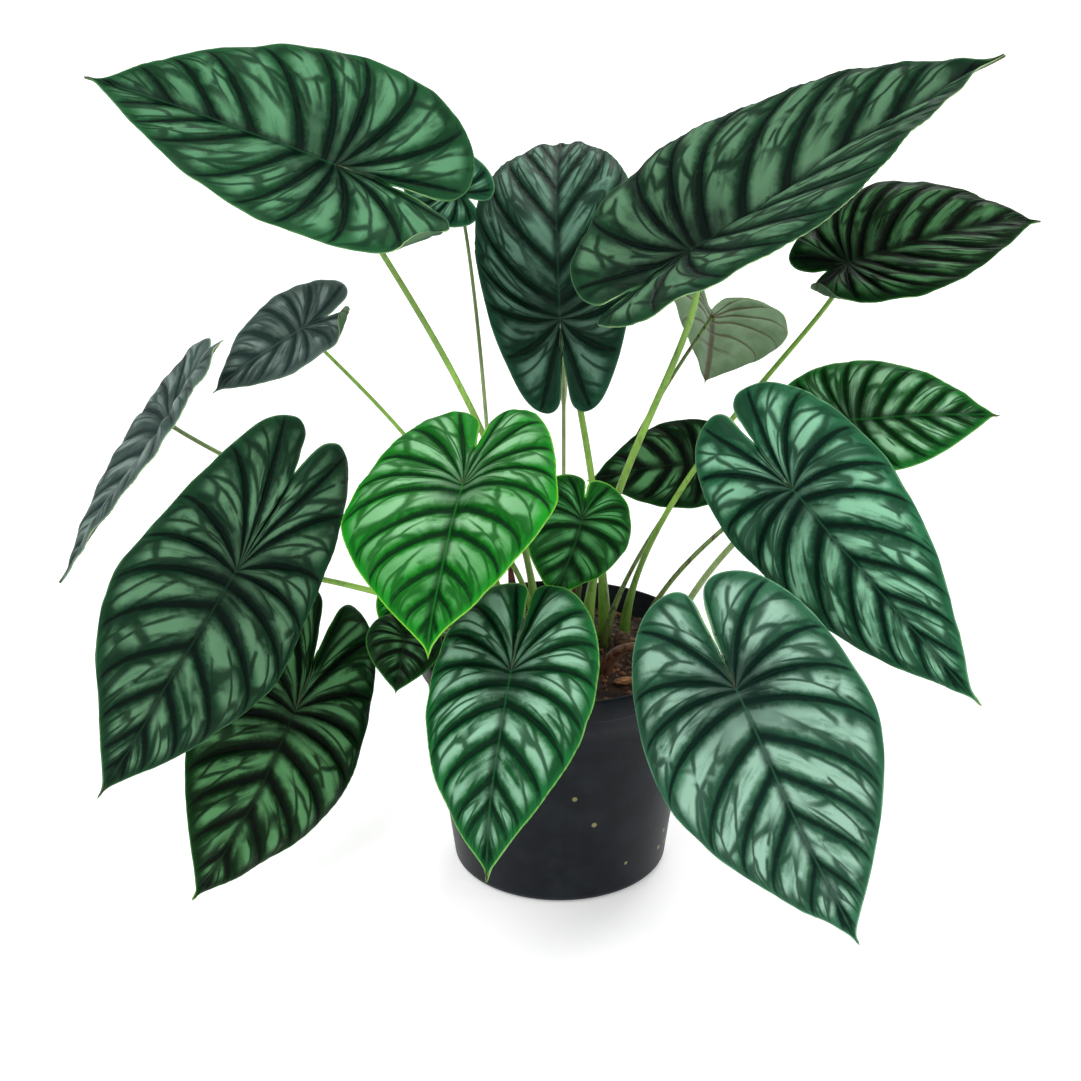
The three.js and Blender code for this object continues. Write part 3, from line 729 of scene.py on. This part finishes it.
def stalkMaterial(name, light, deep, mottle):
    finish = Finish(name)
    place = finish.place()
    along = finish.attribute("along")
    fleck = finish.noise(finish.scaled(place, (1.0, 1.0, 0.35)), 420, 3, 0.6)
    tone = finish.noise(place, 30, 2)
    colour = finish.blend(tone.ramp(0.35, 0.65), light, tuple(0.7 * v for v in light))
    colour = finish.blend(fleck.ramp(0.52, 0.62) * mottle, colour, deep)
    colour = finish.blend((1 - along.ramp(0.0, 0.45)) * 0.6 * mottle, colour, deep)
    normal = finish.bump(fleck, 0.0004, 0.4)
    return finish.set(Base_Color=colour, Roughness=0.34 + fleck * 0.14, Normal=normal)


def stalkPath(leaf, blade):  # rises, leans out and meets the leaf's underside square on
    end = blade.lift(Vector((0, 0)), -bladeForm["thickness"])
    x, y = leaf["foot"]
    foot = Vector((x, y, soilHeight(sqrt(x * x + y * y)) - 0.002))
    lift = foot + Vector((0, 0, max(0.040, (end.z - foot.z) * 0.45)))
    approach = end - blade.up * leaf["lean"]
    return foot, lift, approach, end


def buildStalk(leaf, blade, material):
    points = stalkPath(leaf, blade)
    rough = sum((bezier(points, (i + 1) / 20) - bezier(points, i / 20)).length for i in range(20))
    count = ceil(rough / stalkForm["stepLength"])
    path = [bezier(points, i / count) for i in range(count + 1)]
    thick = (0.8 + leaf["length"] * 1000 / 160) * mm
    footShare = stalkForm["footLength"] / rough

    def radiusAt(share, turn):
        foot = 1 + (stalkForm["footWiden"] - 1) * (1 - smoothStep(0, footShare, share))
        neck = 1 + (stalkForm["neckWiden"] - 1) * smoothStep(1 - 0.006 / rough, 1, share)
        groove = 1 - 0.10 * exp(-((turn - pi / 2) / 0.35) ** 2)
        return thick * lerp(1.12, 0.82, share) * foot * neck * groove

    bm = tubeMesh(path, radiusAt, stalkForm["around"])
    addPiece(bm, "stalk_" + leaf["name"], [material], ["petiole_" + leaf["name"]])


corms = [
    {"name": "left", "at": (-0.036, 0.006), "radius": 0.006},
    {"name": "centre", "at": (-0.004, -0.019), "radius": 0.005},
    {"name": "right", "at": (0.033, 0.003), "radius": 0.005},
]
cormHeight = 0.009
sheathFlatness = 0.4

sheaths = [  # turn and lean in degrees
    {"name": "tall", "at": (-0.021, -0.002), "height": 0.058, "radius": 0.005, "turn": 20, "lean": -6},
    {"name": "left", "at": (-0.050, -0.006), "height": 0.030, "radius": 0.0045, "turn": 70, "lean": -14},
    {"name": "right", "at": (0.043, -0.012), "height": 0.034, "radius": 0.0045, "turn": -40, "lean": 12},
    {"name": "rear", "at": (0.004, 0.024), "height": 0.038, "radius": 0.0045, "turn": 0, "lean": 5},
    {"name": "front", "at": (0.008, -0.024), "height": 0.026, "radius": 0.004, "turn": -20, "lean": 8},
]

barkChips = [
    {"at": (0.034, -0.036), "size": 0.007, "turn": 25},
    {"at": (0.050, -0.026), "size": 0.005, "turn": 100},
    {"at": (-0.030, -0.042), "size": 0.0055, "turn": 60},
    {"at": (-0.008, 0.050), "size": 0.006, "turn": 10},
    {"at": (0.046, 0.030), "size": 0.005, "turn": 140},
    {"at": (0.012, -0.050), "size": 0.005, "turn": 170},
]

rolledLeaf = {"at": (0.002, 0.082, 0.260), "foot": (0.002, 0.048), "length": 0.036, "radius": 0.0032,
              "stalkRadius": 0.0012, "lean": 6}


def onSoil(at, lift=0.0):
    x, y = at
    return Vector((x, y, soilHeight(sqrt(x * x + y * y)) + lift))


def ringedMaterial(name, light, deep, scale):
    finish = Finish(name)
    place = finish.place()
    grain = finish.noise(finish.scaled(place, scale), 300, 5, 0.6)
    patch = finish.noise(place, 120, 2)
    colour = finish.blend(grain.ramp(0.38, 0.62), deep, light)
    colour = finish.blend(patch.ramp(0.5, 0.7) * 0.5, colour, deep)
    normal = finish.bump(grain, 0.0006, 0.7)
    return finish.set(Base_Color=colour, Roughness=0.6 + grain * 0.25, Normal=normal)


def buildCorm(corm, material):
    reach = corm["radius"]
    profile = [(0, 0), (reach * 0.9, 0)]
    for step in range(1, 24):
        share = step / 24
        ring = 1 + 0.03 * sin(share * 38)
        wide = (1 - 0.55 * share ** 3) * (1 - 0.1 * (1 - share))
        profile.append((reach * wide * ring, cormHeight * share))
    profile += [(reach * 0.38, cormHeight), (0, cormHeight * 0.96)]
    bm = spunPiece(profile, 36)
    for vert in bm.verts:
        vert.co += Vector((1, 1, 0.3)) * wander(vert.co, 260, reach) * 0.0004
        vert.co += onSoil(corm["at"], 0.0012)
    addPiece(bm, "corm_" + corm["name"] + "_skin", [material], ["corm_" + corm["name"]])


def buildSheath(sheath, material, seed):
    lean, turn = radians(sheath["lean"]), radians(sheath["turn"])
    axis = Matrix.Rotation(turn, 3, "Z") @ Matrix.Rotation(lean, 3, "Y") @ Vector((0, 0, 1))
    foot = onSoil(sheath["at"], 0.0003 + sheath["radius"] * abs(sin(lean)))
    path = [foot + axis * sheath["height"] * i / 40 for i in range(41)]

    def radiusAt(share, around):
        wide = sheath["radius"] * (1 - share) ** 0.75
        spin = around - turn
        oval = 1 / sqrt(cos(spin) ** 2 + (sin(spin) / sheathFlatness) ** 2)
        crease = 0.05 * sin(around * 9 + 2 * share) + 0.06 * wander((share * 9, around, seed), 1)
        return wide * oval * (1 + crease)

    bm = tubeMesh(path, radiusAt, 40)
    addPiece(bm, "sheath_" + sheath["name"] + "_skin", [material], ["sheath_" + sheath["name"]])


def buildBark(chip, index, material):
    bm = bmesh.new()
    bmesh.ops.create_icosphere(bm, subdivisions=3, radius=chip["size"] / 2)
    spin = Matrix.Rotation(radians(chip["turn"]), 3, "Z")
    for vert in bm.verts:
        rough = 1 + 0.30 * wander(vert.co, 420, index * 3.0) + 0.12 * wander(vert.co, 1500, index)
        flat = Vector((vert.co.x * 1.6, vert.co.y * 0.95, vert.co.z * 0.55)) * rough
        vert.co = spin @ flat + onSoil(chip["at"], chip["size"] * 0.3 + 0.0012)
    name = "bark_%d" % (index + 1)
    addPiece(bm, name + "_chunk", [material], [name])


def buildRolledLeaf(material, stalkSkin):
    length, radius = rolledLeaf["length"], rolledLeaf["radius"]
    profile = []
    for step in range(41):
        share = step / 40
        profile.append((radius * 1.9 * sqrt(share) * (1 - share) ** 0.55 * 0.72, -length * share))
    bm = spunPiece(profile, 40)
    lean = Matrix.Rotation(radians(rolledLeaf["lean"]), 3, "X")
    for vert in bm.verts:
        turn = atan2(vert.co.y, vert.co.x)
        seam = 1 - 0.16 * exp(-(((turn + vert.co.z * 60) % (2 * pi) - pi) / 0.28) ** 2)
        vert.co = lean @ Vector((vert.co.x * seam, vert.co.y * seam, vert.co.z)) + Vector(rolledLeaf["at"])
    addPiece(bm, "newLeafRoll", [material], ["spear"])
    end = Vector(rolledLeaf["at"])
    foot = onSoil(rolledLeaf["foot"], -0.002)
    points = (foot, foot + Vector((0, 0, (end.z - foot.z) * 0.5)), end + Vector((0, 0, 0.016)), end)
    path = [bezier(points, i / 50) for i in range(51)]
    thin = rolledLeaf["stalkRadius"]
    bm = tubeMesh(path, lambda share, turn: thin * (1.7 - 0.8 * smoothStep(0, 0.2, share)), 14)
    addPiece(bm, "newLeafStalk", [stalkSkin], ["spear_stalk"])


view = {
    "distance": 1.5,
    "elevation": radians(24),
    "target": Vector((0, 0, 0.185)),
    "lens": 95.98,
    "shiftX": -0.018,
}


def placeCamera():
    data = bpy.data.cameras.new("camera")
    data.lens = view["lens"]
    data.sensor_width = 36
    data.shift_x = view["shiftX"]
    data.clip_end = 50
    camera = bpy.data.objects.new("camera", data)
    away = Vector((0, -cos(view["elevation"]), sin(view["elevation"])))
    camera.location = view["target"] + away * view["distance"]
    camera.rotation_euler = (pi / 2 - view["elevation"], 0, 0)
    bpy.context.scene.collection.objects.link(camera)
    bpy.context.scene.camera = camera


lamps = [
    {"name": "key", "at": (-1.1, -1.6, 2.2), "size": 1.6, "power": 46},
    {"name": "fill", "at": (1.8, -0.9, 1.2), "size": 1.4, "power": 14},
    {"name": "back", "at": (0.6, 1.8, 2.0), "size": 1.6, "power": 34},
]


def lightRoom():
    for lamp in lamps:
        data = bpy.data.lights.new(lamp["name"], "AREA")
        data.size = lamp["size"]
        data.energy = lamp["power"]
        light = bpy.data.objects.new(lamp["name"], data)
        light.location = lamp["at"]
        light.rotation_euler = (Vector((0, 0, 0.2)) - light.location).to_track_quat("-Z", "Y").to_euler()
        bpy.context.scene.collection.objects.link(light)
    world = bpy.data.worlds.new("paleRoom")
    world.use_nodes = True
    world.node_tree.nodes["Background"].inputs["Color"].default_value = (1, 1, 1, 1)
    world.node_tree.nodes["Background"].inputs["Strength"].default_value = 0.55
    bpy.context.scene.world = world
    bpy.context.scene.view_settings.view_transform = "Standard"


def layFloor():
    bm = bmesh.new()
    bmesh.ops.create_grid(bm, x_segments=1, y_segments=1, size=6)
    mesh = bpy.data.meshes.new("floor")
    bm.to_mesh(mesh)
    bm.free()
    finish = Finish("paleFloor")
    pale = finish.set(Base_Color=(0.92, 0.92, 0.92), Roughness=0.8, Emission_Color=(1.0, 1.0, 1.0),
                      Emission_Strength=0.30)
    mesh.materials.append(pale)
    floor = bpy.data.objects.new("floor", mesh)
    bpy.context.scene.collection.objects.link(floor)


placeCamera()
lightRoom()
layFloor()
print("stage ready")
buildPot()
buildSoil()
scatterCrumbs()
print("pot and soil ready")
under = underMaterial("bladeUnderside", (0.060, 0.125, 0.065), (0.095, 0.180, 0.095))
paleUnder = underMaterial("bladeUndersidePale", (0.140, 0.232, 0.118), (0.210, 0.335, 0.185))
hemSkin = hemMaterial()
stalkSkins = {
    "lime": stalkMaterial("stalkLime", (0.25, 0.47, 0.065), (0.06, 0.14, 0.025), 0.4),
    "olive": stalkMaterial("stalkOlive", (0.17, 0.28, 0.05), (0.045, 0.030, 0.012), 0.9),
    "pale": stalkMaterial("stalkPale", (0.30, 0.42, 0.16), (0.12, 0.16, 0.06), 0.4),
    "rust": stalkMaterial("stalkRust", (0.30, 0.17, 0.10), (0.10, 0.022, 0.016), 1.0),
}
cormSkin = ringedMaterial("cormBrown", (0.16, 0.085, 0.045), (0.035, 0.016, 0.009), (1.0, 1.0, 4.0))
sheathSkin = ringedMaterial("sheathMaroon", (0.150, 0.030, 0.024), (0.030, 0.006, 0.006), (3.0, 3.0, 0.35))
barkSkin = ringedMaterial("barkOrange", (0.46, 0.21, 0.075), (0.13, 0.050, 0.018), (1.0, 2.5, 1.0))
for corm in corms:
    buildCorm(corm, cormSkin)
for seed, sheath in enumerate(sheaths):
    buildSheath(sheath, sheathSkin, seed * 2.3)
for index, chip in enumerate(barkChips):
    buildBark(chip, index, barkSkin)
buildRolledLeaf(stalkMaterial("rollPale", (0.36, 0.50, 0.20), (0.20, 0.30, 0.10), 0.3), stalkSkins["pale"])
print("crown ready")
for index, leaf in enumerate(leaves):
    blade = buildBlade(leaf, index, paleUnder if leaf["tint"] == "pale" else under, hemSkin)
    buildStalk(leaf, blade, stalkSkins[leaf["stalk"]])
print("leaves ready")
